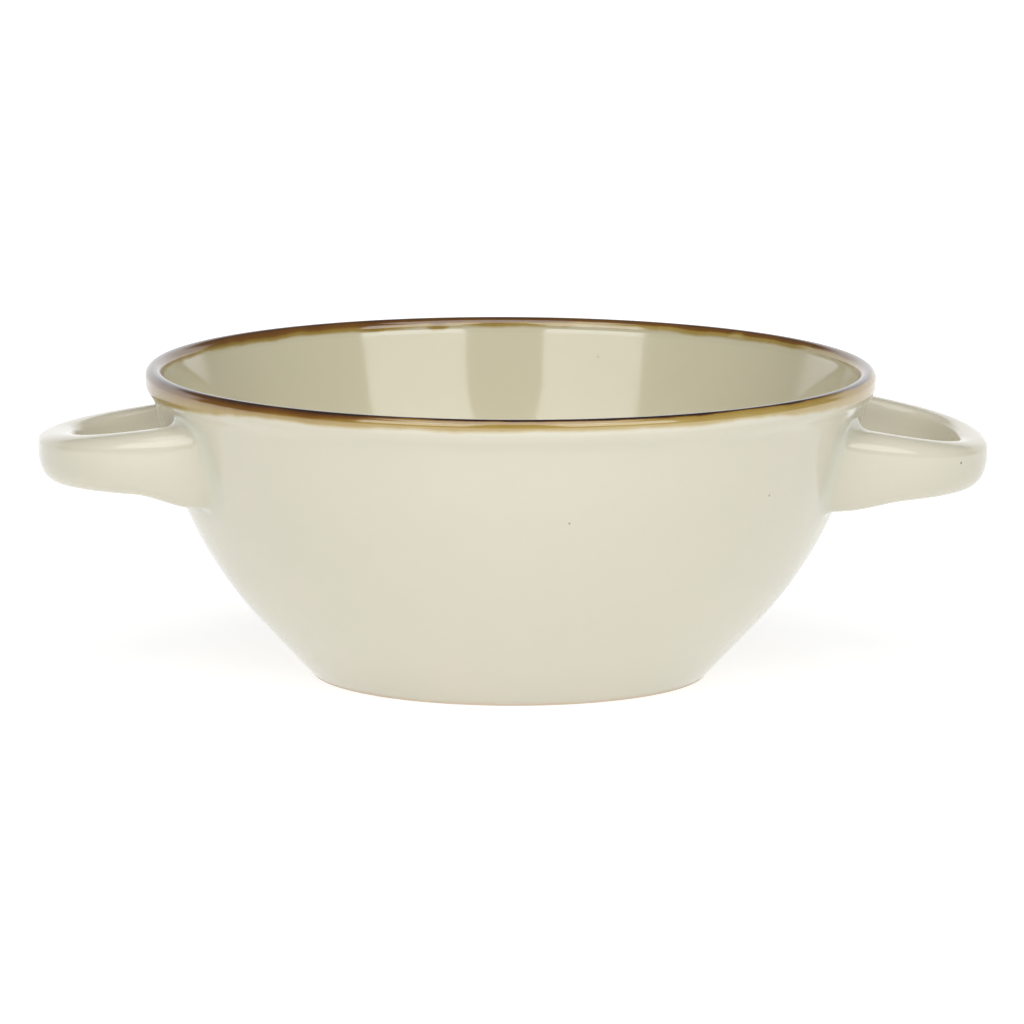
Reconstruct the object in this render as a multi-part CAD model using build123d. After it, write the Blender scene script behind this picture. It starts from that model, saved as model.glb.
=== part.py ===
from build123d import *
from math import copysign, cos, hypot, pi, radians, sin, tan
import os

# A two-handled soup bowl in glazed stoneware. The bowl is one pressed clay body with a turned foot
# ring. Two pressed loop handles with flared roots are stuck to its wall with a layer of slip at each
# root, and a band of brown glaze is brushed over the lip before the last firing.
# Millimetres, +Z up, origin on the table at the middle of the foot, handles along X.

# Bowl: outside, from the foot up. The wall is two straight runs with a wide bend between them.
RIM_RADIUS = 70.0  # widest point of the lip
BOWL_HEIGHT = 59.2  # crest of the lip above the table
FOOT_RADIUS = 37.6  # where the lower wall meets the table
FOOT_EDGE = 0.9
BELLY_HEIGHT = 26.1  # where the lower and the upper wall would cross
BELLY_INSET = 7.9  # that crossing, inside the widest point of the lip
BELLY_RADIUS = 76.0

# Bowl: lip, rolled out a little over a hollow neck
LIP_THICKNESS = 3.4
LIP_DEPTH = 3.8  # upright outside of the lip, from the crest down
LIP_OUTER_ROUND = 1.5
LIP_INNER_ROUND = 1.0
UNDER_LIP_ROUND = 2.2
NECK_FALL = 0.9  # neck below the lip's upright
NECK_INSET = 1.3  # neck inside the widest point of the lip
NECK_HOLLOW = 1.3
INNER_LIP_DROP = 4.0  # upright inside of the lip, from the crest down
INNER_LIP_BEND = 10.0

# Bowl: inside and underside
WALL = 4.4  # wall thickness at the belly and below
FLOOR_THICKNESS = 4.2
FLOOR_BEND = 18.0  # bend between the floor and the wall, inside
FOOT_RING_WIDTH = 4.6
FOOT_RECESS = 2.2  # underside of the floor above the table
RECESS_BEND = 1.0
FOOT_INNER_EDGE = 0.6
BEND_SLACK = 1.02  # spare length kept between two bends that share a short run

# Brown band on the lip
BAND_DEPTH = 2.8  # reach below the crest, outside and inside
BAND_COAT = 0.4  # thickness of the coat

# Handles: each is a level loop, seen from above as a rounded square
HANDLE_PROJECTION = 21.8  # beyond the lip
HANDLE_WIDTH = 58.0  # across both limbs, outside
HANDLE_DROP = 11.5  # top of the tip below the lip's crest
LOOP_DEPTH = 11.0  # where the loop's bend starts, inside the lip's widest point
LOOP_SQUARENESS = 2.5  # exponent of the loop's outline; 2 is an ellipse
LOOP_STATIONS = 13
ROOT_RUN = 8.0  # straight run of the limbs on into the wall
TIP_THICKNESS = 6.8
TIP_HEIGHT = 10.5
LIMB_THICKNESS = 9.0
LIMB_HEIGHT = 15.0
LIMB_RISE = 3.0  # top of a limb at its root above the top of the tip
OUTER_SQUARENESS = 2.0  # exponents of the section's outline, on its outer and inner halves
INNER_SQUARENESS = 2.8
CREST_INSET = 0.8  # crest and sole of the section towards the inner face
SHOULDER_RISE = 0.8  # widest point of the outer face above mid-height
SECTION_POINTS = 16
ROOT_FLARE = 3.2  # radius of the flare from a limb to the wall

# Slip that sticks the handles on
SLIP_LAYER = 0.8  # from the wall to a handle's root
SLIP_SEAT = 0.03  # clearance that trims the slip's feather edge off the wall


def half_section(start, corners, end):
    """Closed half section (r, z) from a point on the axis, round the corners, back to the axis.
    Each corner is a point and its rounding, which is limited where the runs beside it are too short."""
    points = [Vector(start)] + [Vector(point) for point, _ in corners] + [Vector(end)]
    runs = [b - a for a, b in zip(points, points[1:])]
    turns = [radians(a.get_angle(b)) for a, b in zip(runs, runs[1:])]
    uses = [0] + [radius * tan(turn / 2) for (_, radius), turn in zip(corners, turns)] + [0]
    crowding = [BEND_SLACK * (a + b) / run.length for a, b, run in zip(uses, uses[1:], runs)]
    radii = [radius / max(1, a, b) for (_, radius), a, b in zip(corners, crowding, crowding[1:])]
    return make_face(Curve() + [FilletPolyline(*points, radius=radii), Line(end, start)])


def bowl_sections():
    """Half sections of the whole clay bowl, and of its outside filled solid."""
    foot = (FOOT_RADIUS, 0)
    belly = (RIM_RADIUS - BELLY_INSET, BELLY_HEIGHT)
    neck = (RIM_RADIUS - NECK_INSET, BOWL_HEIGHT - LIP_DEPTH - NECK_FALL)
    lower_lean = (belly[0] - foot[0]) / belly[1]
    upper_lean = (neck[0] - belly[0]) / (neck[1] - belly[1])
    outside = [
        (foot, FOOT_EDGE),
        (belly, BELLY_RADIUS),
        (neck, NECK_HOLLOW),
        ((RIM_RADIUS, BOWL_HEIGHT - LIP_DEPTH), UNDER_LIP_ROUND),
        ((RIM_RADIUS, BOWL_HEIGHT), LIP_OUTER_ROUND),
    ]

    # The inside runs parallel to the lower wall; the upper wall thins from there to the lip.
    lip_inside = RIM_RADIUS - LIP_THICKNESS
    inner_top = (lip_inside, BOWL_HEIGHT - INNER_LIP_DROP)
    inner_foot = FOOT_RADIUS - WALL * hypot(1, lower_lean)
    belly_inside = belly[0] - WALL * hypot(1, upper_lean)
    inner_lean = (inner_top[0] - belly_inside) / (inner_top[1] - belly[1])
    inner_belly_z = (belly_inside - inner_lean * belly[1] - inner_foot) / (lower_lean - inner_lean)
    floor = FOOT_RECESS + FLOOR_THICKNESS
    inside = [
        ((lip_inside, BOWL_HEIGHT), LIP_INNER_ROUND),
        (inner_top, INNER_LIP_BEND),
        ((inner_foot + lower_lean * inner_belly_z, inner_belly_z), BELLY_RADIUS - WALL),
        ((inner_foot + lower_lean * floor, floor), FLOOR_BEND),
    ]

    ring_inside = FOOT_RADIUS - FOOT_RING_WIDTH
    underside = [((ring_inside, FOOT_RECESS), RECESS_BEND), ((ring_inside, 0), FOOT_INNER_EDGE)]
    clay = half_section((0, FOOT_RECESS), underside + outside + inside, (0, floor))
    filled = half_section((0, 0), outside, (0, BOWL_HEIGHT))
    return clay, filled


def turned(section):
    """A half section (r, z) turned about the bowl's axis."""
    return revolve(Plane.XZ * section, Axis.Z)


def section_outline(thickness, height):
    """Closed outline of a limb: a flattish inner face and a round outer one, fullest above the middle."""
    points = []
    for i in range(SECTION_POINTS):
        c = cos(2 * pi * i / SECTION_POINTS)
        s = sin(2 * pi * i / SECTION_POINTS)
        power = 2 / (OUTER_SQUARENESS if c > 0 else INNER_SQUARENESS)
        out = copysign(thickness / 2 * abs(c) ** power, c) - CREST_INSET * s**2
        up = copysign(height / 2 * abs(s) ** power, s) + SHOULDER_RISE * max(c, 0) * (1 - abs(s))
        points.append((out, up))
    return make_face(Spline(*points, periodic=True))


def handle_loop():
    """One handle's clay, with both limbs run on into the wall."""
    root = RIM_RADIUS - LOOP_DEPTH
    reach = RIM_RADIUS + HANDLE_PROJECTION - TIP_THICKNESS / 2 - root
    half_width = (HANDLE_WIDTH - LIMB_THICKNESS) / 2
    tip_top = BOWL_HEIGHT - HANDLE_DROP

    def section_at(x, y, outward, towards_tip):
        """Section of the loop at (x, y), square to the loop."""
        top = tip_top + LIMB_RISE * (1 - towards_tip)
        height = LIMB_HEIGHT + (TIP_HEIGHT - LIMB_HEIGHT) * towards_tip
        thickness = LIMB_THICKNESS + (TIP_THICKNESS - LIMB_THICKNESS) * towards_tip
        origin = Vector(x, y, top - height / 2)
        plane = Plane(origin, x_dir=outward, z_dir=outward.cross(Vector(0, 0, 1)))
        return plane * section_outline(thickness, height)

    # The bend follows |x/reach|^n + |y/half_width|^n = 1, and its outward direction is that gradient.
    sections = [section_at(root - ROOT_RUN, half_width, Vector(0, 1, 0), 0)]
    for i in range(LOOP_STATIONS):
        turn = pi / 2 - pi * i / (LOOP_STATIONS - 1)
        x = max(cos(turn), 0) ** (2 / LOOP_SQUARENESS)
        y = copysign(abs(sin(turn)) ** (2 / LOOP_SQUARENESS), turn)
        gradient_y = copysign(abs(y) ** (LOOP_SQUARENESS - 1), turn) / half_width
        outward = Vector(x ** (LOOP_SQUARENESS - 1) / reach, gradient_y, 0).normalized()
        sections.append(section_at(root + reach * x, half_width * y, outward, x))
    sections.append(section_at(root - ROOT_RUN, -half_width, Vector(0, -1, 0), 0))
    return loft(sections)


clay_section, filled_section = bowl_sections()

# Lip band: the coat over the top of the lip, and the clay left under it.
lip_zone = Pos(0, BOWL_HEIGHT - BAND_DEPTH) * Rectangle(2 * RIM_RADIUS, BOWL_HEIGHT, align=Align.MIN)
band_section = (clay_section & lip_zone) - offset(clay_section, -BAND_COAT)
rim_band = turned(band_section)
bowl_body = turned(clay_section - band_section)

# Handle flared to the wall, then cut where the slip starts; the slip takes the last of the flare.
bowl_outside = turned(filled_section)
clear_of_axis = Rectangle(2 * RIM_RADIUS, 3 * BOWL_HEIGHT, align=(Align.MIN, Align.CENTER))
slip_seat = turned(offset(filled_section, SLIP_SEAT) & clear_of_axis)
slip_face = turned(offset(filled_section, SLIP_LAYER) & clear_of_axis)
loop = handle_loop()
root_edges = new_edges(bowl_outside, loop, combined=bowl_outside + loop)
flared = fillet(root_edges, ROOT_FLARE)
right_handle = flared - slip_face
front_slip, rear_slip = ((flared & slip_face) - slip_seat).solids().sort_by(Axis.Y)

half_turn = Rotation(0, 0, 180)
pieces = {
    "bowl_body": bowl_body,
    "rim_band": rim_band,
    "right_handle": right_handle,
    "left_handle": half_turn * right_handle,
    "right_front_slip_joint": front_slip,
    "right_rear_slip_joint": rear_slip,
    "left_front_slip_joint": half_turn * rear_slip,
    "left_rear_slip_joint": half_turn * front_slip,
}

os.makedirs("parts", exist_ok=True)
for name, piece in pieces.items():
    export_step(piece, f"parts/{name}.step")
    print(name, round(piece.volume), "mm3")
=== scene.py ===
from math import ceil, copysign, cos, hypot, pi, radians, sin, tan

import bmesh
import bpy
import numpy as np
from mathutils import Matrix, Vector
from mathutils.kdtree import KDTree


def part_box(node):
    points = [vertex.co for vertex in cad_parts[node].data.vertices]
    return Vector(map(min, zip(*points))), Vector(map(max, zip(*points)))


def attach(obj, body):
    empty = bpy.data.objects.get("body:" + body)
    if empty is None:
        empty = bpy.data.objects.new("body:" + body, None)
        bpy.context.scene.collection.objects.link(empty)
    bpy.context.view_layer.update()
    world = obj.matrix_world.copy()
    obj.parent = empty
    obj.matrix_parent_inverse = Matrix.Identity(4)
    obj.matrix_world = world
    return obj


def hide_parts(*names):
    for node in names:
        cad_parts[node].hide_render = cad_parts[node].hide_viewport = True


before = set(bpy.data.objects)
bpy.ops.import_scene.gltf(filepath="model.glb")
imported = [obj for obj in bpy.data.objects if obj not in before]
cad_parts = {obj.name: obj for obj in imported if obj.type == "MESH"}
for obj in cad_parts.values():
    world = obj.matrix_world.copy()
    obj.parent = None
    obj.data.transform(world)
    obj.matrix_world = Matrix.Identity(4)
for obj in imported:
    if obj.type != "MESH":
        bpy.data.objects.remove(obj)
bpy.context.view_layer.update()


# Bowl body
# One pressed stoneware body: a straight lower wall off a turned foot ring, a wide bend at the belly and an
# upper wall that leans out to a rolled lip. It was dipped in cream glaze and its standing ring wiped bare.
band_low, band_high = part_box("rim_band")
RIM_RADIUS = band_high.x
BOWL_HEIGHT = band_high.z
BAND_DEPTH = band_high.z - band_low.z
BAND_COAT = 0.0004
FOOT_RADIUS = 0.0376
FOOT_RING = 0.0046
FOOT_EDGE = 0.0009
RING_INNER_EDGE = 0.0006
RECESS_TOP = 0.0022
RECESS_BEND = 0.001
FLOOR_TOP = 0.0064
FLOOR_BEND = 0.018
WALL = 0.0044
BELLY_BEND = 0.076
NECK_HOLLOW = 0.004
UNDER_LIP_ROUND = 0.003
LIP_OUTER_ROUND = 0.0015
LIP_INNER_ROUND = 0.0018
INNER_TOP_BEND = 0.0012
LINE_STEP = 0.0012
ARC_STEP = radians(6)
AROUND = 360

# Corners of the bowl's section, as radius and height.
BELLY = (RIM_RADIUS - 0.0079, 0.0261)
NECK = (RIM_RADIUS - 0.0015, BOWL_HEIGHT - 0.0056)
UNDER_LIP = (RIM_RADIUS, BOWL_HEIGHT - 0.0038)
LIP_INSIDE = RIM_RADIUS - 0.0034
INNER_TOP = (LIP_INSIDE, BOWL_HEIGHT - 0.002)


def rounded(corners):
    """Points (r, z) along straight runs whose corners, given as (point, radius), are rounded as arcs."""
    ends = [np.array(point, float) for point, _ in corners]
    points = [ends[0]]

    def run_to(target):
        gap = target - points[-1]
        count = max(1, ceil(np.linalg.norm(gap) / LINE_STEP))
        start = points[-1]
        points.extend(start + gap * k / count for k in range(1, count + 1))

    for before, corner, after, (_, radius) in zip(ends, ends[1:], ends[2:], corners[1:]):
        into = (corner - before) / np.linalg.norm(corner - before)
        away = (after - corner) / np.linalg.norm(after - corner)
        turn = np.arctan2(into[0] * away[1] - into[1] * away[0], into @ away)
        run_to(corner - into * radius * tan(abs(turn) / 2))
        inward = copysign(1, turn) * np.array([-into[1], into[0]])
        centre = points[-1] + inward * radius
        count = max(ceil(abs(turn) / ARC_STEP), ceil(radius * abs(turn) / LINE_STEP))
        for k in range(1, count + 1):
            swing = turn * k / count
            points.append(centre - radius * (inward * cos(swing) - copysign(1, turn) * into * sin(swing)))
    run_to(ends[-1])
    return np.array(points)


# The inside runs parallel to the lower wall and thins from the belly to the lip.
lower_lean = (BELLY[0] - FOOT_RADIUS) / BELLY[1]
upper_lean = (NECK[0] - BELLY[0]) / (NECK[1] - BELLY[1])
inner_foot = FOOT_RADIUS - WALL * hypot(1, lower_lean)
belly_inside = BELLY[0] - WALL * hypot(1, upper_lean)
inner_lean = (INNER_TOP[0] - belly_inside) / (INNER_TOP[1] - BELLY[1])
inner_belly_z = (belly_inside - inner_lean * BELLY[1] - inner_foot) / (lower_lean - inner_lean)
section = rounded([
    ((0, RECESS_TOP), 0),
    ((FOOT_RADIUS - FOOT_RING, RECESS_TOP), RECESS_BEND),
    ((FOOT_RADIUS - FOOT_RING, 0), RING_INNER_EDGE),
    ((FOOT_RADIUS, 0), FOOT_EDGE),
    (BELLY, BELLY_BEND),
    (NECK, NECK_HOLLOW),
    (UNDER_LIP, UNDER_LIP_ROUND),
    ((RIM_RADIUS, BOWL_HEIGHT), LIP_OUTER_ROUND),
    ((LIP_INSIDE, BOWL_HEIGHT), LIP_INNER_ROUND),
    (INNER_TOP, INNER_TOP_BEND),
    ((inner_foot + lower_lean * inner_belly_z, inner_belly_z), BELLY_BEND - WALL),
    ((inner_foot + lower_lean * FLOOR_TOP, FLOOR_TOP), FLOOR_BEND),
    ((0, FLOOR_TOP), 0),
])

# Along the section, the lip run counts from the crest: outwards above zero, inwards below it.
band_edge = BOWL_HEIGHT - BAND_DEPTH
above_edge = section[:, 1] - band_edge
crossings = [i for i in range(len(section) - 1) if above_edge[i] * above_edge[i + 1] < 0]
for i in reversed(crossings):
    share = (band_edge - section[i, 1]) / (section[i + 1, 1] - section[i, 1])
    section = np.insert(section, i + 1, section[i] + share * (section[i + 1] - section[i]), axis=0)
outer_edge = crossings[0] + 1
inner_edge = crossings[1] + 2
length_along = np.concatenate([[0], np.cumsum(np.hypot(*np.diff(section, axis=0).T))])
crest = outer_edge + np.argmin(abs(section[outer_edge:inner_edge, 0] - (RIM_RADIUS + LIP_INSIDE) / 2))
lip_run = length_along[crest] - length_along
tangent = np.gradient(section, axis=0)
tangent /= np.linalg.norm(tangent, axis=1)[:, None]
into_clay = np.stack([-tangent[:, 1], tangent[:, 0]], axis=1)

# The wall is a little oval and a little three-sided: how much, where about the axis, and the turn up its height.
OVAL = 0.00006
OVAL_AT = 0.6
THREE_SIDED = 0.00004
THREE_SIDED_AT = 2.1
THREE_SIDED_TURN = 3
SHARP_ANGLE = radians(40)
ON_AXIS = 1e-9


def give(angle, height):
    """How far the hand-finished wall lies inside a true circle, at an angle about the axis and a height."""
    rise = height / BOWL_HEIGHT
    oval = OVAL * (1 + np.sin(2 * angle + OVAL_AT))
    three_sided = THREE_SIDED * (1 + np.sin(3 * angle + THREE_SIDED_AT + THREE_SIDED_TURN * rise))
    return rise * (oval + three_sided)


def wall_radius(angle, height):
    """Radius of the bowl's outside at an angle about the axis and a height."""
    outside = section[np.argmax(section[:, 0] > FOOT_RADIUS - FOOT_EDGE):outer_edge]
    return np.interp(height, outside[:, 1], outside[:, 0]) - give(angle, height)


def smooth_mesh(name, vertices, faces, **values):
    """An object with smooth faces turned outwards, sharp only at real corners, and named values at its points."""
    mesh = bpy.data.meshes.new(name)
    mesh.from_pydata([tuple(v) for v in vertices], [], faces)
    shell = bmesh.new()
    shell.from_mesh(mesh)
    bmesh.ops.recalc_face_normals(shell, faces=shell.faces)
    shell.to_mesh(mesh)
    shell.free()
    mesh.shade_smooth()
    mesh.set_sharp_from_angle(angle=SHARP_ANGLE)
    for key, numbers in values.items():
        layer = mesh.attributes.new(key, "FLOAT", "POINT")
        layer.data.foreach_set("value", np.asarray(numbers, np.float32))
    piece = bpy.data.objects.new(name, mesh)
    bpy.context.scene.collection.objects.link(piece)
    return piece


def turned(name, profile, runs, closed):
    """A profile (r, z) turned about the bowl's axis; its lip runs stay on as point values."""
    angles = np.arange(AROUND) * 2 * pi / AROUND
    vertices = []
    rings = []
    values = []
    for (radius, height), run in zip(profile, runs):
        rings.append(len(vertices))
        if radius < ON_AXIS:
            vertices.append((0, 0, height))
        else:
            radii = radius - give(angles, height)
            vertices.extend(np.stack([radii * np.cos(angles), radii * np.sin(angles), 0 * angles + height], 1))
        values.extend([run] * (len(vertices) - len(values)))
    faces = []
    pairs = list(zip(range(len(rings)), range(1, len(rings))))
    if closed:
        pairs.append((len(rings) - 1, 0))
    for low, high in pairs:
        for j in range(AROUND):
            k = (j + 1) % AROUND
            if profile[low][0] < ON_AXIS:
                faces.append((rings[low], rings[high] + k, rings[high] + j))
            elif profile[high][0] < ON_AXIS:
                faces.append((rings[low] + j, rings[low] + k, rings[high]))
            else:
                faces.append((rings[low] + j, rings[low] + k, rings[high] + k, rings[high] + j))
    return smooth_mesh(name, vertices, faces, lip_run=values)


under_band = slice(outer_edge, inner_edge + 1)
SEAT_GAP = 0.00002
core = section[under_band] + into_clay[under_band] * (BAND_COAT + SEAT_GAP)
bowl = turned(
    "glazed_bowl",
    np.concatenate([section[:outer_edge + 1], core, section[inner_edge:]]),
    np.concatenate([lip_run[:outer_edge + 1], lip_run[under_band], lip_run[inner_edge:]]),
    closed=False,
)


def feed(tree, socket, value):
    """Links an input socket to another socket, or sets it to a plain value."""
    if isinstance(value, bpy.types.NodeSocket):
        tree.links.new(value, socket)
    else:
        socket.default_value = value


def node(tree, kind, *values, named=None, **settings):
    """A node in a tree. Values fill its inputs in order or by name."""
    made = tree.nodes.new(kind)
    for key, value in settings.items():
        setattr(made, key, value)
    for key, value in [*enumerate(values), *(named or {}).items()]:
        feed(tree, made.inputs[key], value)
    return made


def maths(tree, operation, *values):
    """One step of arithmetic."""
    return node(tree, "ShaderNodeMath", *values, operation=operation).outputs[0]


def step(tree, value, low, high, to_low=0.0, to_high=1.0):
    """A value eased from one range to another."""
    eased = node(tree, "ShaderNodeMapRange", value, low, high, to_low, to_high, interpolation_type="SMOOTHSTEP")
    return eased.outputs[0]


def blend(tree, share, first, second):
    """A mix of two colours, which are the Mix node's inputs 6 and 7."""
    mixed = node(tree, "ShaderNodeMix", data_type="RGBA")
    for index, value in ((0, share), (6, first), (7, second)):
        feed(tree, mixed.inputs[index], value)
    return mixed.outputs[2]


def noise(tree, place, size, detail=2.0):
    """Soft noise, mostly between 0.3 and 0.7, whose blots are about that size in metres."""
    made = node(tree, "ShaderNodeTexNoise", named={"Vector": place, "Scale": 1 / size, "Detail": detail})
    return made.outputs[0]


def group(name, inputs, outputs):
    """An empty shader node group: its tree, and the nodes that hold its named inputs and outputs."""
    tree = bpy.data.node_groups.new(name, "ShaderNodeTree")
    for label, kind, value in inputs:
        socket = tree.interface.new_socket(label, in_out="INPUT", socket_type=kind)
        socket.default_value = value
    for label, kind in outputs:
        tree.interface.new_socket(label, in_out="OUTPUT", socket_type=kind)
    return tree, tree.nodes.new("NodeGroupInput").outputs, tree.nodes.new("NodeGroupOutput").inputs


def use_group(tree, made, **inputs):
    """A node group placed in a tree, with its inputs by name."""
    placed = node(tree, "ShaderNodeGroup", node_tree=made)
    for key, value in inputs.items():
        feed(tree, placed.inputs[key.replace("_", " ")], value)
    return placed.outputs


def mark(tree, spot, place, core, edge, strength):
    """A soft round mark at a place: its full strength within the core, nothing past the edge."""
    away = node(tree, "ShaderNodeVectorMath", spot, place, operation="DISTANCE").outputs["Value"]
    return step(tree, away, core, edge, strength, 0.0)


# Cream glaze, shared by every glazed piece: a warm off-white that is greyer and greener where it lay thick.
# Its thickness drifts in broad clouds and a fine mottle, and its face has slow ripples and a fine peel.
CREAM_THIN = (0.604, 0.57, 0.458, 1)
CREAM_THICK = (0.53, 0.535, 0.44, 1)
CLOUD = 0.022
MOTTLE = 0.0035
MOTTLE_SHARE = 0.3
DRIFT = 0.22
GLOSS = (0.07, 0.11)
RIPPLE = 0.009
PEEL = 0.0016
PEEL_DEPTH = 0.06
cream_group, cream_in, cream_out = group(
    "cream_glaze_coat",
    [
        ("Thin", "NodeSocketColor", CREAM_THIN),
        ("Thick", "NodeSocketColor", CREAM_THICK),
        ("Pool", "NodeSocketFloat", 0.0),
    ],
    [("Colour", "NodeSocketColor"), ("Roughness", "NodeSocketFloat"), ("Height", "NodeSocketFloat")],
)
spot = node(cream_group, "ShaderNodeTexCoord").outputs["Object"]
cloud = noise(cream_group, spot, CLOUD)
mottle = noise(cream_group, spot, MOTTLE, 3.0)
fine_drift = maths(cream_group, "MULTIPLY", mottle, MOTTLE_SHARE)
drift = maths(cream_group, "MULTIPLY_ADD", cloud, 1 - MOTTLE_SHARE, fine_drift)
thick = maths(cream_group, "ADD", step(cream_group, drift, 0.3, 0.75, 0.0, DRIFT), cream_in["Pool"])
tone = blend(cream_group, maths(cream_group, "MINIMUM", thick, 1.0), cream_in["Thin"], cream_in["Thick"])
cream_group.links.new(tone, cream_out["Colour"])
cream_group.links.new(step(cream_group, mottle, 0.3, 0.7, *GLOSS), cream_out["Roughness"])
ripple = noise(cream_group, spot, RIPPLE, 1.0)
peel = maths(cream_group, "MULTIPLY", noise(cream_group, spot, PEEL, 1.0), PEEL_DEPTH)
cream_group.links.new(maths(cream_group, "ADD", ripple, peel), cream_out["Height"])

# Brown iron glaze brushed along the lip: almost black on the crest, amber and ochre where it thins, and
# a feathered edge that the brush left deeper on the left side than on the right.
rim_group, rim_in, rim_out = group(
    "brushed_rim_coat",
    [("Lip Run", "NodeSocketFloat", 0.0)],
    [("Colour", "NodeSocketColor"), ("Cover", "NodeSocketFloat"), ("Height", "NodeSocketFloat")],
)
WANDER_SIZE = 0.012
WANDER = 0.0015
FRINGE_SIZE = 0.004
FRINGE = 0.0004
FRINGE_RELIEF = 0.2
spot = node(rim_group, "ShaderNodeTexCoord").outputs["Object"]
across = node(rim_group, "ShaderNodeSeparateXYZ", spot).outputs[0]
laden = step(rim_group, across, -RIM_RADIUS, RIM_RADIUS, 1.0, 0.0)
wander = maths(rim_group, "SUBTRACT", noise(rim_group, spot, WANDER_SIZE), 0.5)
fringe = maths(rim_group, "SUBTRACT", noise(rim_group, spot, FRINGE_SIZE, 3.0), 0.5)
waver = maths(rim_group, "MULTIPLY_ADD", wander, WANDER, maths(rim_group, "MULTIPLY", fringe, FRINGE))
outwards = maths(rim_group, "GREATER_THAN", rim_in["Lip Run"], 0.0)
from_crest = maths(rim_group, "ADD", maths(rim_group, "ABSOLUTE", rim_in["Lip Run"]), waver)

# Marks of the brush inside the rear of the lip: a drip that hangs lower, and a place where the coat is thin.
DRIP = (-0.0094, 0.0656, 0.0566)
DRIP_SPAN = (0.0008, 0.0032)
DRIP_LENGTH = 0.0006
THIN_PLACE = (0.0479, 0.0461, 0.0574)
THIN_SPAN = (0.0006, 0.0028)
THINNING = 0.26
from_crest = maths(rim_group, "ADD", from_crest, mark(rim_group, spot, DRIP, *DRIP_SPAN, -DRIP_LENGTH))
thinned = mark(rim_group, spot, THIN_PLACE, *THIN_SPAN, THINNING)

# How far from the crest the brown stays full and how far it reaches at all, on the lip's outer and inner face.
# Each is a pair: on the bowl's right side, and on the left where the brush was laden. It changes over a stretch of
# the width, from 0 at the right to 1 at the left, and reaches further outside at both far ends.
OUTER_REACH = (0.0032, 0.0037)
OUTER_REACH_OVER = (0.3, 0.8)
OUTER_FULL = (0.0012, 0.0025)
OUTER_FULL_OVER = (0.7, 1.0)
INNER_REACH = (0.0025, 0.0029)
INNER_FULL = (0.0014, 0.0018)
INNER_OVER = (0.2, 0.8)
FAR_LEFT = (-0.72 * RIM_RADIUS, -RIM_RADIUS)
FAR_LEFT_REACH = 0.0028
FAR_RIGHT = (0.6 * RIM_RADIUS, 0.95 * RIM_RADIUS)
FAR_RIGHT_REACH = 0.0014
OUTER_DARKEST = 0.0009
INNER_DARKEST = -0.0004
EDGE_FADE = (0.82, 1.1)


def by_face(outer, inner):
    """The outer value on the lip's outer face and the inner one on its inner face."""
    return maths(rim_group, "MULTIPLY_ADD", outwards, maths(rim_group, "SUBTRACT", outer, inner), inner)


far_left = step(rim_group, across, *FAR_LEFT, 0.0, FAR_LEFT_REACH)
far_right = step(rim_group, across, *FAR_RIGHT, 0.0, FAR_RIGHT_REACH)
far = maths(rim_group, "ADD", far_left, far_right)
outer_reach = maths(rim_group, "ADD", step(rim_group, laden, *OUTER_REACH_OVER, *OUTER_REACH), far)
reach = by_face(outer_reach, step(rim_group, laden, *INNER_OVER, *INNER_REACH))
outer_full = step(rim_group, laden, *OUTER_FULL_OVER, *OUTER_FULL)
full = by_face(outer_full, step(rim_group, laden, *INNER_OVER, *INNER_FULL))
darkest = by_face(OUTER_DARKEST, INNER_DARKEST)
inner_half = node(rim_group, "ShaderNodeMapRange", from_crest, darkest, full, 0.0, 0.5).outputs[0]

# On the right the brown breaks to ochre at once; on the left it fades.
BREAK = (0.45, 1.0)
BREAK_OVER = (0.3, 0.6)
outer_half = node(rim_group, "ShaderNodeMapRange", from_crest, full, reach).outputs[0]
outer_half = maths(rim_group, "POWER", outer_half, step(rim_group, laden, *BREAK_OVER, *BREAK))
shade_at = maths(rim_group, "MULTIPLY_ADD", outer_half, 0.5, maths(rim_group, "ADD", inner_half, thinned))
ramp = node(rim_group, "ShaderNodeValToRGB", shade_at)
SHADES = [
    (0.0, (0.016, 0.006, 0.003)),
    (0.2, (0.09, 0.031, 0.004)),
    (0.47, (0.17, 0.077, 0.01)),
    (0.55, (0.24, 0.135, 0.024)),
    (0.68, (0.31, 0.205, 0.04)),
    (0.85, (0.37, 0.262, 0.075)),
    (1.0, (0.45, 0.35, 0.145)),
]
for place, _ in SHADES[1:-1]:
    ramp.color_ramp.elements.new(place)
for element, (place, shade) in zip(ramp.color_ramp.elements, SHADES):
    element.position = place
    element.color = (*shade, 1)
rim_group.links.new(ramp.outputs[0], rim_out["Colour"])
depth = maths(rim_group, "DIVIDE", from_crest, reach)
rim_group.links.new(step(rim_group, depth, *EDGE_FADE, 1.0, 0.0), rim_out["Cover"])
rim_group.links.new(maths(rim_group, "MULTIPLY", fringe, FRINGE_RELIEF), rim_out["Height"])

GLAZE_IOR = 1.6
GLAZE_RELIEF = 0.00004
INSIDE_THIN = (0.615, 0.572, 0.418, 1)
INSIDE_THICK = (0.535, 0.515, 0.38, 1)
INSIDE_FADE = 0.0025


def glazed(name):
    """A glossy glaze: its material, node tree and shader."""
    material = bpy.data.materials.new(name)
    material.use_nodes = True
    tree = material.node_tree
    shader = tree.nodes["Principled BSDF"]
    shader.inputs["IOR"].default_value = GLAZE_IOR
    return material, tree, shader


def ripple_into(tree, shader, height, depth):
    """Feeds a height, whose full range is that depth in metres, to a shader as relief."""
    relief = node(tree, "ShaderNodeBump", named={"Strength": 1.0, "Distance": depth, "Height": height})
    tree.links.new(relief.outputs[0], shader.inputs["Normal"])


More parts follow.
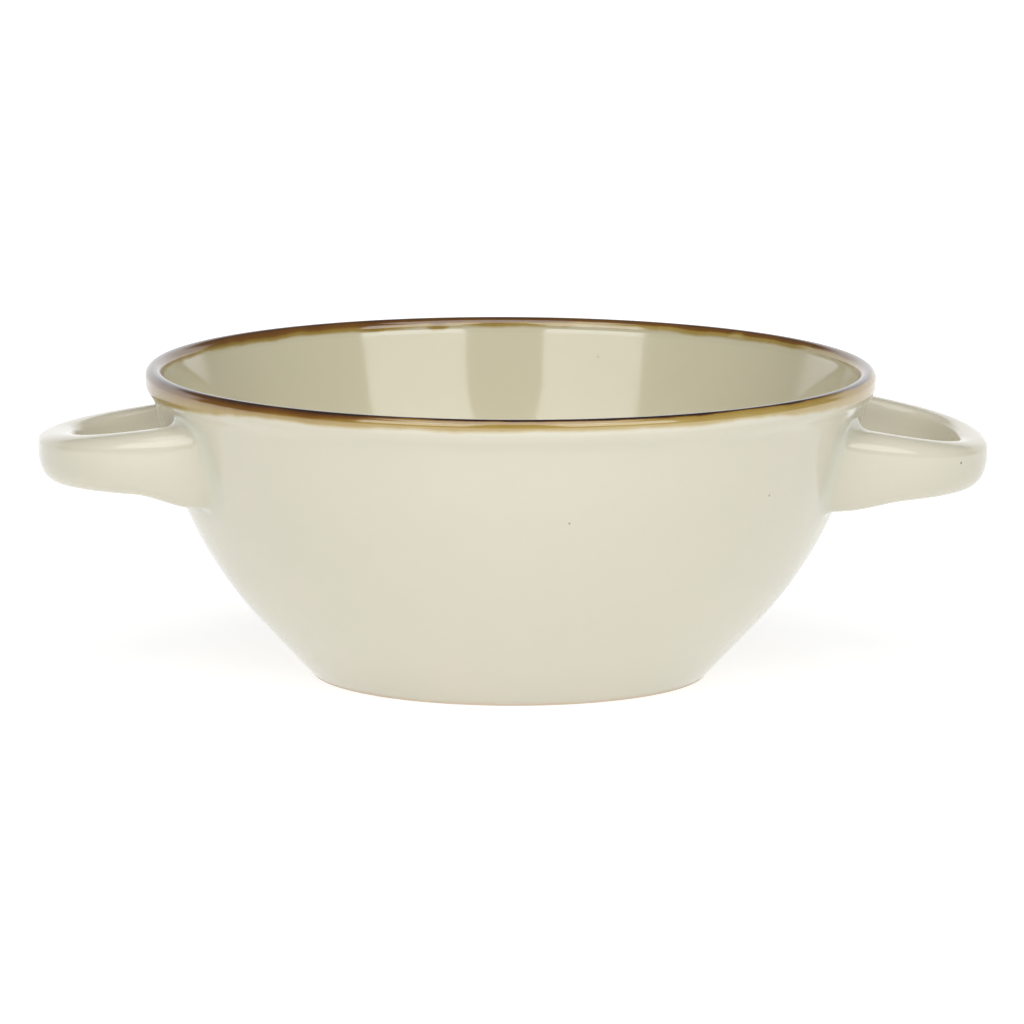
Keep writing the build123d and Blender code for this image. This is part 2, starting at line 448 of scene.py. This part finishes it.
def two_sided_cream(tree, run, **inputs):
    """The cream coat on a piece that reaches over the lip: a little yellower inside the bowl."""
    inside = step(tree, run, -INSIDE_FADE, 0.0, 1.0, 0.0)
    thin = blend(tree, inside, CREAM_THIN, INSIDE_THIN)
    thick = blend(tree, inside, CREAM_THICK, INSIDE_THICK)
    return use_group(tree, cream_group, Thin=thin, Thick=thick, **inputs)


bowl_glaze, tree, shader = glazed("cream_glaze_bowl")
run = node(tree, "ShaderNodeAttribute", attribute_name="lip_run").outputs["Fac"]
pool = node(tree, "ShaderNodeAttribute", attribute_name="pool").outputs["Fac"]
coat = two_sided_cream(tree, run, Pool=pool)
bleed = use_group(tree, rim_group, Lip_Run=run)
glaze_colour = blend(tree, bleed["Cover"], coat["Colour"], bleed["Colour"])

# The standing ring is bare tan clay, paler where the glaze stops.
CLAY = (0.55, 0.45, 0.33, 1)
CLAY_GRAIN = (0.64, 0.54, 0.42, 1)
CLAY_EDGE = (0.6, 0.52, 0.41, 1)
GRAIN_SIZE = 0.0006
GRAIN_RELIEF = 0.8
CLAY_ROUGHNESS = 0.7
BARE_TOP = 0.0005
BARE_FADE = 0.0003
RAG_SIZE = 0.006
RAG = 0.0005
spot = node(tree, "ShaderNodeTexCoord").outputs["Object"]
height = node(tree, "ShaderNodeSeparateXYZ", spot).outputs[2]
ragged = maths(tree, "MULTIPLY_ADD", noise(tree, spot, RAG_SIZE), RAG, maths(tree, "SUBTRACT", height, RAG / 2))
grain = noise(tree, spot, GRAIN_SIZE, 4.0)
clay = blend(tree, step(tree, ragged, 0.0, BARE_TOP), blend(tree, grain, CLAY, CLAY_GRAIN), CLAY_EDGE)
bare = step(tree, ragged, BARE_TOP, BARE_TOP + BARE_FADE, 1.0, 0.0)

# Iron specks that burnt through the glaze: two on the front, by angle and height, and a faint one inside.
FRONT_SPECKS = [(radians(-84.5), 0.0391), (radians(-46.5), 0.0414)]
FRONT_STRENGTH = 0.5
INSIDE_SPECK = (0.022, 0.0612, 0.0521)
INSIDE_STRENGTH = 0.25
SPECK_CORE = 0.0001
SPECK_EDGE = 0.00034
IRON = (0.06, 0.04, 0.025, 1)
speck_places = [(INSIDE_SPECK, INSIDE_STRENGTH)]
for angle, up in FRONT_SPECKS:
    out = wall_radius(angle, up)
    speck_places.append(((out * cos(angle), out * sin(angle), up), FRONT_STRENGTH))
specks = 0.0
for place, strength in speck_places:
    specks = maths(tree, "MAXIMUM", mark(tree, spot, place, SPECK_CORE, SPECK_EDGE, strength), specks)
glaze_colour = blend(tree, specks, glaze_colour, IRON)
tree.links.new(blend(tree, bare, glaze_colour, clay), shader.inputs["Base Color"])
roughness = maths(tree, "MULTIPLY_ADD", bare, CLAY_ROUGHNESS, coat["Roughness"])
tree.links.new(roughness, shader.inputs["Roughness"])
relief = maths(tree, "MULTIPLY_ADD", bare, maths(tree, "MULTIPLY", grain, GRAIN_RELIEF), coat["Height"])
ripple_into(tree, shader, relief, GLAZE_RELIEF)
bowl.data.materials.append(bowl_glaze)
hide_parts("bowl_body")
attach(bowl, "root")


# Rim band
# The coat of brown iron glaze over the lip, brushed on wet while the bowl turned on a wheel and melted into
# the cream below it in the last firing. It is dark on the crest and runs thin to ochre at both edges.
RIM_IOR = 1.85
RIM_SHEEN = 0.06
SHEEN_ROUGHNESS = 0.3
SHEEN_TINT = (0.95, 0.74, 0.85, 1)
coat_under = section[under_band] + into_clay[under_band] * BAND_COAT
rim_band = turned(
    "glazed_rim",
    np.concatenate([section[under_band], coat_under[::-1]]),
    np.concatenate([lip_run[under_band], lip_run[under_band][::-1]]),
    closed=True,
)
rim_glaze, tree, shader = glazed("brown_rim_glaze")
run = node(tree, "ShaderNodeAttribute", attribute_name="lip_run").outputs["Fac"]
coat = two_sided_cream(tree, run)
brown = use_group(tree, rim_group, Lip_Run=run)
tree.links.new(blend(tree, brown["Cover"], coat["Colour"], brown["Colour"]), shader.inputs["Base Color"])
tree.links.new(coat["Roughness"], shader.inputs["Roughness"])
ripple_into(tree, shader, maths(tree, "ADD", coat["Height"], brown["Height"]), GLAZE_RELIEF)
shader.inputs["IOR"].default_value = RIM_IOR
shader.inputs["Sheen Weight"].default_value = RIM_SHEEN
shader.inputs["Sheen Roughness"].default_value = SHEEN_ROUGHNESS
shader.inputs["Sheen Tint"].default_value = SHEEN_TINT
rim_band.data.materials.append(rim_glaze)
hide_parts("rim_band")
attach(rim_band, "root")


# Handles
# Two level loops pressed from clay, square-shouldered seen from above, deep at the limbs and slim at the tip.
# Each was stuck on by hand while still soft, so no two settle alike, and the limbs flare out onto the wall.
TIP_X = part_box("right_handle")[1].x
TIP_TOP = BOWL_HEIGHT - 0.0115
TIP_THICKNESS = 0.0068
LIMB_THICKNESS = 0.009
LOOP_WIDTH = 0.0488
LOOP_ROOT = RIM_RADIUS - 0.011
SPLAY = 0.0012
OUTER_SQUARENESS = 2.75
INNER_SQUARENESS = 2.8
CREST_INSET = 0.0008
SHOULDER_RISE = 0.0018
SLIP_LAYER = 0.0008
ROUND_LIMB = 80
ALONG_LIMB = 120
FLARE_STEPS = 12
FLARE_SAMPLES = 65
HALVINGS = 40

# Turns along the loop, in radians: how far past the root it is surely in the wall, and where it is surely clear of
# the wall and of the flare.
INTO_WALL = 0.14
CLEAR_OF_WALL = pi / 5
CLEAR_OF_FLARE = pi / 8

# Along the limb as a share of the reach: where its root starts, over how much of it the sag comes in, and over
# how much the splay does.
ROOT_FROM = 0.5
SAG_OVER = 0.4
SPLAY_OVER = 0.35

# Each loop as it settled: its twist about X, how far it sank and fell short, how much thicker its tip came out,
# the rise of its limbs, its heights at tip and limb, the sag under its roots and how square its bend is.
SETTLE = {
    "right": {"twist": radians(1.1), "sunk": 0.0016, "short": 0.0003, "plump": -0.0009, "rise": 0.0056,
              "tip": 0.0087, "limb": 0.0157, "sag": 0.0012, "square": 2.8},
    "left": {"twist": radians(3.0), "sunk": 0.0002, "short": 0.0014, "plump": 0.0009, "rise": 0.0037,
             "tip": 0.0095, "limb": 0.0145, "sag": 0.002, "square": 2.55},
}


def limb_outline(angles, thickness, height):
    """Outward and upward places of a limb's section: flattish inside, round outside, fullest above the middle."""
    c = np.cos(angles)
    s = np.sin(angles)
    power = 2 / np.where(c > 0, OUTER_SQUARENESS, INNER_SQUARENESS)
    out = np.sign(c) * thickness / 2 * abs(c) ** power - CREST_INSET * s**2
    up = np.sign(s) * height / 2 * abs(s) ** power + SHOULDER_RISE * np.maximum(c, 0) * (1 - abs(s))
    return out, up


# Points are spread evenly round the girth of a middling section.
MIDDLING = (0.0078, 0.0128)
GIRTH_SAMPLES = 1441
fine = np.linspace(0, 2 * pi, GIRTH_SAMPLES)
girth = np.concatenate([[0], np.cumsum(np.hypot(*np.diff(limb_outline(fine, *MIDDLING))))])
around_limb = np.interp(np.arange(ROUND_LIMB) / ROUND_LIMB * girth[-1], girth, fine)


def loop_points(turn, angle, settle):
    """Points on a settled loop: turn runs from -90 degrees at the front limb's root to 90 at the rear one's, and
    further on straight into the wall."""
    tip_thickness = TIP_THICKNESS + settle["plump"]
    reach = TIP_X - tip_thickness / 2 - LOOP_ROOT - settle["short"]

    def centre(turn):
        bend = np.clip(turn, -pi / 2, pi / 2)
        x = np.maximum(np.cos(bend), 0) ** (2 / settle["square"]) - 2 * (abs(turn) - abs(bend))
        return x, np.sign(turn) * abs(np.sin(bend)) ** (2 / settle["square"]) * LOOP_WIDTH / 2

    nudge = 0.002
    x, y = centre(turn)
    ahead = centre(turn + nudge)
    behind = centre(turn - nudge)
    face = np.stack([ahead[1] - behind[1], (behind[0] - ahead[0]) * reach])
    face /= np.hypot(*face)
    near_root = np.clip((ROOT_FROM - x) / SAG_OVER, 0, 1)
    sag = settle["sag"] * near_root**2 * (3 - 2 * near_root)
    height = settle["limb"] + (settle["tip"] - settle["limb"]) * x + sag
    out, up = limb_outline(angle, LIMB_THICKNESS + (tip_thickness - LIMB_THICKNESS) * x, height)

    # The limbs splay on their outer face, most near its top.
    trumpet = (np.maximum(ROOT_FROM - x, 0) / SPLAY_OVER) ** 2
    out = out + SPLAY * trumpet * np.maximum(np.cos(angle), 0) ** 0.5 * (0.5 + 0.75 * np.sin(angle))
    across = y + out * face[1]
    above = settle["rise"] * (1 - x) - height / 2 + up
    twist = settle["twist"]
    return np.stack([
        LOOP_ROOT + reach * x + out * face[0],
        across * cos(twist) - above * sin(twist),
        TIP_TOP - settle["sunk"] + across * sin(twist) + above * cos(twist),
    ], axis=-1)


def wall_gap(points, half_turn):
    """How far points of a handle stand off the bowl's outside, square to the wall."""
    angle = np.arctan2(points[..., 1], points[..., 0]) + half_turn
    away = np.hypot(points[..., 0], points[..., 1]) - wall_radius(angle, points[..., 2])
    return away / hypot(1, upper_lean)


def onto_wall(points, half_turn, sunk=0.0):
    """Points moved level to the bowl's outside, or that far below it."""
    angle = np.arctan2(points[..., 1], points[..., 0])
    radius = wall_radius(angle + half_turn, points[..., 2]) - sunk
    return np.stack([radius * np.cos(angle), radius * np.sin(angle), points[..., 2]], axis=-1)


# The flare at a limb's outer face, top, inner face and bottom: its length along the limb, its length out over the
# wall, and how tightly it folds between them.
FLARE_ALONG = (0.002, 0.003, 0.0026, 0.0014)
FLARE_OUT = (0.0046, 0.0026, 0.0026, 0.0016)
FLARE_FOLD = (1.8, 1.0, 1.0, 1.0)


def round_limb_values(corners):
    """Values at a limb's four sides, run smoothly round it."""
    quarter = around_limb / (pi / 2)
    side = np.floor(quarter).astype(int) % 4
    share = (1 - np.cos(pi * (quarter - np.floor(quarter)))) / 2
    values = np.array(corners)
    return values[side] + (values[(side + 1) % 4] - values[side]) * share


def limb_root(side, half_turn, settle):
    """Where one limb runs into the wall, for each point round it: the turn where its flare starts, a function that
    gives the flare's points at shares from 0 on the limb to 1 on the wall, and which way it spreads there."""
    low = np.full(ROUND_LIMB, side * (pi / 2 + INTO_WALL))
    high = np.full(ROUND_LIMB, side * CLEAR_OF_WALL)
    for _ in range(HALVINGS):
        middle = (low + high) / 2
        outside = wall_gap(loop_points(middle, around_limb, settle), half_turn) > 0
        high = np.where(outside, middle, high)
        low = np.where(outside, low, middle)
    meet = loop_points(low, around_limb, settle)
    onward = radians(0.5)
    along = loop_points(low - side * onward, around_limb, settle) - meet
    along /= np.linalg.norm(along, axis=1)[:, None]
    swing = 0.01
    girthwise = loop_points(low, around_limb + swing, settle) - loop_points(low, around_limb - swing, settle)
    outward = side * np.cross(girthwise, along)
    outward /= np.linalg.norm(outward, axis=1)[:, None]
    angle = np.arctan2(meet[:, 1], meet[:, 0])
    wall = np.stack([np.cos(angle), np.sin(angle), np.full(ROUND_LIMB, -upper_lean)], 1) / hypot(1, upper_lean)
    spread = outward - np.sum(outward * wall, 1)[:, None] * wall
    spread /= np.linalg.norm(spread, axis=1)[:, None]
    between = np.arccos(np.clip(np.sum(along * spread, 1), -1, 1))
    foot = onto_wall(meet + spread * round_limb_values(FLARE_OUT)[:, None], half_turn)
    weight = (np.sin(between / 2) * round_limb_values(FLARE_FOLD))[:, None]
    flare_along = round_limb_values(FLARE_ALONG)
    start = low.copy()
    finish = np.full(ROUND_LIMB, side * CLEAR_OF_FLARE)
    for _ in range(HALVINGS):
        middle = (start + finish) / 2
        gone = np.linalg.norm(loop_points(middle, around_limb, settle) - meet, axis=1) > flare_along
        finish = np.where(gone, middle, finish)
        start = np.where(gone, start, middle)
    top = loop_points(start, around_limb, settle)

    def flare_at(share):
        share = np.asarray(share).reshape(-1, 1)
        shares = ((1 - share) ** 2, 2 * weight * share * (1 - share), share**2)
        return (shares[0] * top + shares[1] * meet + shares[2] * foot) / sum(shares)

    return start, flare_at, spread


def tube(name, rings):
    """A closed mesh through rings of points, with a fan over each end."""
    count = len(rings[0])
    vertices = [p for ring in rings for p in ring]
    faces = []
    for i in range(len(rings) - 1):
        for j in range(count):
            k = (j + 1) % count
            faces.append((i * count + j, i * count + k, (i + 1) * count + k, (i + 1) * count + j))
    for first, ring in ((0, rings[0]), ((len(rings) - 1) * count, rings[-1])):
        middle = len(vertices)
        vertices.append(np.mean(ring, axis=0))
        faces.extend((first + j, first + (j + 1) % count, middle) for j in range(count))
    return smooth_mesh(name, vertices, faces)


HANDLE_IOR = 1.52
HANDLE_RELIEF = 0.00012
HANDLE_IRON = (0.09, 0.05, 0.03, 1)
HANDLE_SPECK_EDGE = 0.00036
HANDLE_SPECK_STRENGTH = 0.75


def handle_glaze(name, speck=None):
    """Cream glaze with its pools at the roots, and an iron speck if there is one."""
    material, tree, shader = glazed(name)
    pool = node(tree, "ShaderNodeAttribute", attribute_name="pool").outputs["Fac"]
    coat = use_group(tree, cream_group, Pool=pool)
    colour = coat["Colour"]
    if speck:
        spot = node(tree, "ShaderNodeTexCoord").outputs["Object"]
        burnt = mark(tree, spot, speck, SPECK_CORE, HANDLE_SPECK_EDGE, HANDLE_SPECK_STRENGTH)
        colour = blend(tree, burnt, colour, HANDLE_IRON)
    tree.links.new(colour, shader.inputs["Base Color"])
    tree.links.new(coat["Roughness"], shader.inputs["Roughness"])
    ripple_into(tree, shader, coat["Height"], HANDLE_RELIEF)
    shader.inputs["IOR"].default_value = HANDLE_IOR
    return material


HALF_TURN = {"right": 0.0, "left": pi}
SPECK_ON = {"right": (0.0843, -0.0214, 0.0432)}
roots = {}
handles = {}
for side, settle in SETTLE.items():
    half_turn = HALF_TURN[side]
    front_start, front_flare, front_spread = limb_root(-1, half_turn, settle)
    rear_start, rear_flare, rear_spread = limb_root(1, half_turn, settle)
    shares = np.linspace(0, 1, FLARE_SAMPLES)
    slip_from = []
    for flare_at in (front_flare, rear_flare):
        stand_off = np.array([wall_gap(flare_at(np.full(ROUND_LIMB, s)), half_turn) for s in shares])
        slip_from.append(np.array([np.interp(-SLIP_LAYER, -off, shares) for off in stand_off.T]))
    rings = [front_flare(slip_from[0] * (1 - k / FLARE_STEPS)) for k in range(FLARE_STEPS)]
    rings += [
        loop_points(front_start + (rear_start - front_start) * k / ALONG_LIMB, around_limb, settle)
        for k in range(ALONG_LIMB + 1)
    ]
    rings += [rear_flare(slip_from[1] * k / FLARE_STEPS) for k in range(1, FLARE_STEPS + 1)]
    turn_about = np.array(Matrix.Rotation(half_turn, 3, "Z"))
    handles[side] = tube(f"glazed_{side}_handle", [ring @ turn_about.T for ring in rings])
    handles[side].data.materials.append(handle_glaze(f"cream_glaze_{side}", SPECK_ON.get(side)))
    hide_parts(f"{side}_handle")
    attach(handles[side], "root")
    ends = {"front": (front_flare, slip_from[0], front_spread), "rear": (rear_flare, slip_from[1], rear_spread)}
    for end, parts in ends.items():
        roots[side, end] = (*parts, half_turn, turn_about)


# Slip joints
# The thin layer of liquid clay that sticks each limb to the wall. It squeezed out all round and was wiped to a
# soft fillet, where the glaze gathered, so it shows as a greyer line that melts into the wall.
SLIP_STEPS = 12
TUCK = 0.0004
SINK = 0.00012
POOL_WIDTH = 0.0022
POOL_DEPTH = 0.55
crease = []
slips = []
for (side, end), (flare_at, slip_from, spread, half_turn, turn_about) in roots.items():
    rings = [flare_at(slip_from + (1 - slip_from) * k / SLIP_STEPS) for k in range(SLIP_STEPS + 1)]
    rings.append(onto_wall(rings[-1] + spread * TUCK, half_turn, SINK))
    rings = [ring @ turn_about.T for ring in rings]
    crease.extend(rings[SLIP_STEPS // 2])
    near = end if side == "right" else {"front": "rear", "rear": "front"}[end]
    slip = tube(f"glazed_{side}_{near}_slip", rings)
    slips.append(slip)
    slip.data.materials.append(handles[side].data.materials[0])
    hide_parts(f"{side}_{near}_slip_joint")
    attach(slip, "root")

# Pooled glaze fades out with distance from the creases, over every piece that meets there.
tree_of_creases = KDTree(len(crease))
for index, point in enumerate(crease):
    tree_of_creases.insert(Vector(point), index)
tree_of_creases.balance()
for piece in [bowl, *handles.values(), *slips]:
    gaps = np.array([tree_of_creases.find(v.co)[2] for v in piece.data.vertices])
    layer = piece.data.attributes.new("pool", "FLOAT", "POINT")
    layer.data.foreach_set("value", (POOL_DEPTH * np.exp(-(gaps / POOL_WIDTH) ** 2)).astype(np.float32))


# Floor and light
# A plain pale floor that glows from below as a light table does, two soft lights in front of the bowl, one overhead
# and a lit backdrop low behind it. The bowl keeps a faint soft shadow on the floor, and the floor's glow is painted
# dimmer near the bowl, a painted shade round it.
FLOOR_SPAN = 30.0
FLOOR_GREY = (0.5, 0.5, 0.5, 1)
WHITE = (1, 1, 1, 1)
SHADED_GLOW_NEAR = 0.71
GLOW_FAR = 0.95
GLOW_FROM = 0.07
GLOW_TO = 0.5
floor_mesh = bpy.data.meshes.new("floor")
half = FLOOR_SPAN / 2
floor_mesh.from_pydata([(-half, -half, 0), (half, -half, 0), (half, half, 0), (-half, half, 0)], [], [(0, 1, 2, 3)])
floor = bpy.data.objects.new("floor", floor_mesh)
bpy.context.scene.collection.objects.link(floor)
floor_paint = bpy.data.materials.new("pale_floor")
floor_paint.use_nodes = True
tree = floor_paint.node_tree
tree.nodes.clear()
out = node(tree, "ShaderNodeVectorMath", node(tree, "ShaderNodeTexCoord").outputs["Object"], operation="LENGTH")
matt = node(tree, "ShaderNodeBsdfDiffuse", FLOOR_GREY)
# Painted shade: the floor's glow rises from dim near the bowl to bright far from it.
glow_with_painted_shade = step(tree, out.outputs["Value"], GLOW_FROM, GLOW_TO, SHADED_GLOW_NEAR, GLOW_FAR)
glow = node(tree, "ShaderNodeEmission", WHITE, glow_with_painted_shade)
both = node(tree, "ShaderNodeAddShader", matt.outputs[0], glow.outputs[0])
node(tree, "ShaderNodeOutputMaterial", both.outputs[0])
floor_mesh.materials.append(floor_paint)

# The world lights matt faces evenly, and mirrors as a dim room with a bright backdrop low behind the bowl. The
# backdrop's edges are given as parts of a unit direction, up and to the rear.
FILL = 0.2
DIM = 0.12
BEHIND = 1.1
BACKDROP_TOP = (0.36, 0.5)
BACKDROP_SIDE = (0.46, 0.6)
world = bpy.data.worlds.new("white_studio")
bpy.context.scene.world = world
world.use_nodes = True
tree = world.node_tree
tree.nodes.clear()
path = node(tree, "ShaderNodeLightPath").outputs
way = node(tree, "ShaderNodeSeparateXYZ", node(tree, "ShaderNodeTexCoord").outputs["Generated"]).outputs
low = step(tree, way[2], *BACKDROP_TOP, 1.0, 0.0)
behind = maths(tree, "MULTIPLY", low, step(tree, way[1], *BACKDROP_SIDE))
seen = maths(tree, "MULTIPLY_ADD", behind, BEHIND - DIM, DIM)
mirrored = maths(tree, "MAXIMUM", path["Is Glossy Ray"], path["Is Transmission Ray"])
plain = maths(tree, "MULTIPLY_ADD", mirrored, maths(tree, "SUBTRACT", seen, FILL), FILL)
strength = maths(tree, "MAXIMUM", path["Is Camera Ray"], plain)
sky = node(tree, "ShaderNodeBackground", WHITE, strength)
node(tree, "ShaderNodeOutputWorld", sky.outputs[0])

AIM = Vector((0, 0, 0.030))


def direction(azimuth, elevation):
    """Unit vector from the bowl, with azimuth counted from the front towards +X."""
    return Vector((sin(azimuth) * cos(elevation), -cos(azimuth) * cos(elevation), sin(elevation)))


# Name, azimuth and elevation in degrees, width and height in degrees as seen from the bowl, and brightness.
SOFTBOXES = [
    ("softbox_right", 31.2, 33, 35, 34, 2.7),
    ("softbox_left", -35.4, 33, 34, 34, 2.7),
    ("softbox_overhead", -3, 70, 50, 44, 2.0),
    ("backdrop", 180, 7, 90, 18, 0.1),
]
LIGHT_DISTANCE = 1.3
for name, azimuth, elevation, wide, high, brightness in SOFTBOXES:
    lamp = bpy.data.lights.new(name, "AREA")
    lamp.shape = "RECTANGLE"
    lamp.size = 2 * LIGHT_DISTANCE * tan(radians(wide / 2))
    lamp.size_y = 2 * LIGHT_DISTANCE * tan(radians(high / 2))
    lamp.energy = brightness * pi * lamp.size * lamp.size_y
    softbox = bpy.data.objects.new(name, lamp)
    aim = direction(radians(azimuth), radians(elevation))
    softbox.location = AIM + LIGHT_DISTANCE * aim
    softbox.rotation_euler = aim.to_track_quat("Z", "Y").to_euler()
    softbox.visible_camera = False
    bpy.context.scene.collection.objects.link(softbox)


# Camera
# A long lens just above the rim's height and a little to the left, where the photograph was taken from. The small
# roll and shift are the photograph's framing.
CAMERA_AZIMUTH = radians(-4.3)
CAMERA_ELEVATION = radians(9.17)
CAMERA_DISTANCE = 1.8
CAMERA_ROLL = radians(0.25)
lens = bpy.data.cameras.new("camera")
lens.sensor_width = 36
lens.lens = 330
lens.shift_x = 0.0021
lens.shift_y = 0.0049
lens.clip_end = 100
camera = bpy.data.objects.new("camera", lens)
back = direction(CAMERA_AZIMUTH, CAMERA_ELEVATION)
looking = back.to_track_quat("Z", "Y").to_matrix() @ Matrix.Rotation(CAMERA_ROLL, 3, "Z")
camera.matrix_world = Matrix.Translation(AIM + CAMERA_DISTANCE * back) @ looking.to_4x4()
bpy.context.scene.collection.objects.link(camera)
bpy.context.scene.camera = camera
bpy.context.scene.view_settings.view_transform = "Standard"
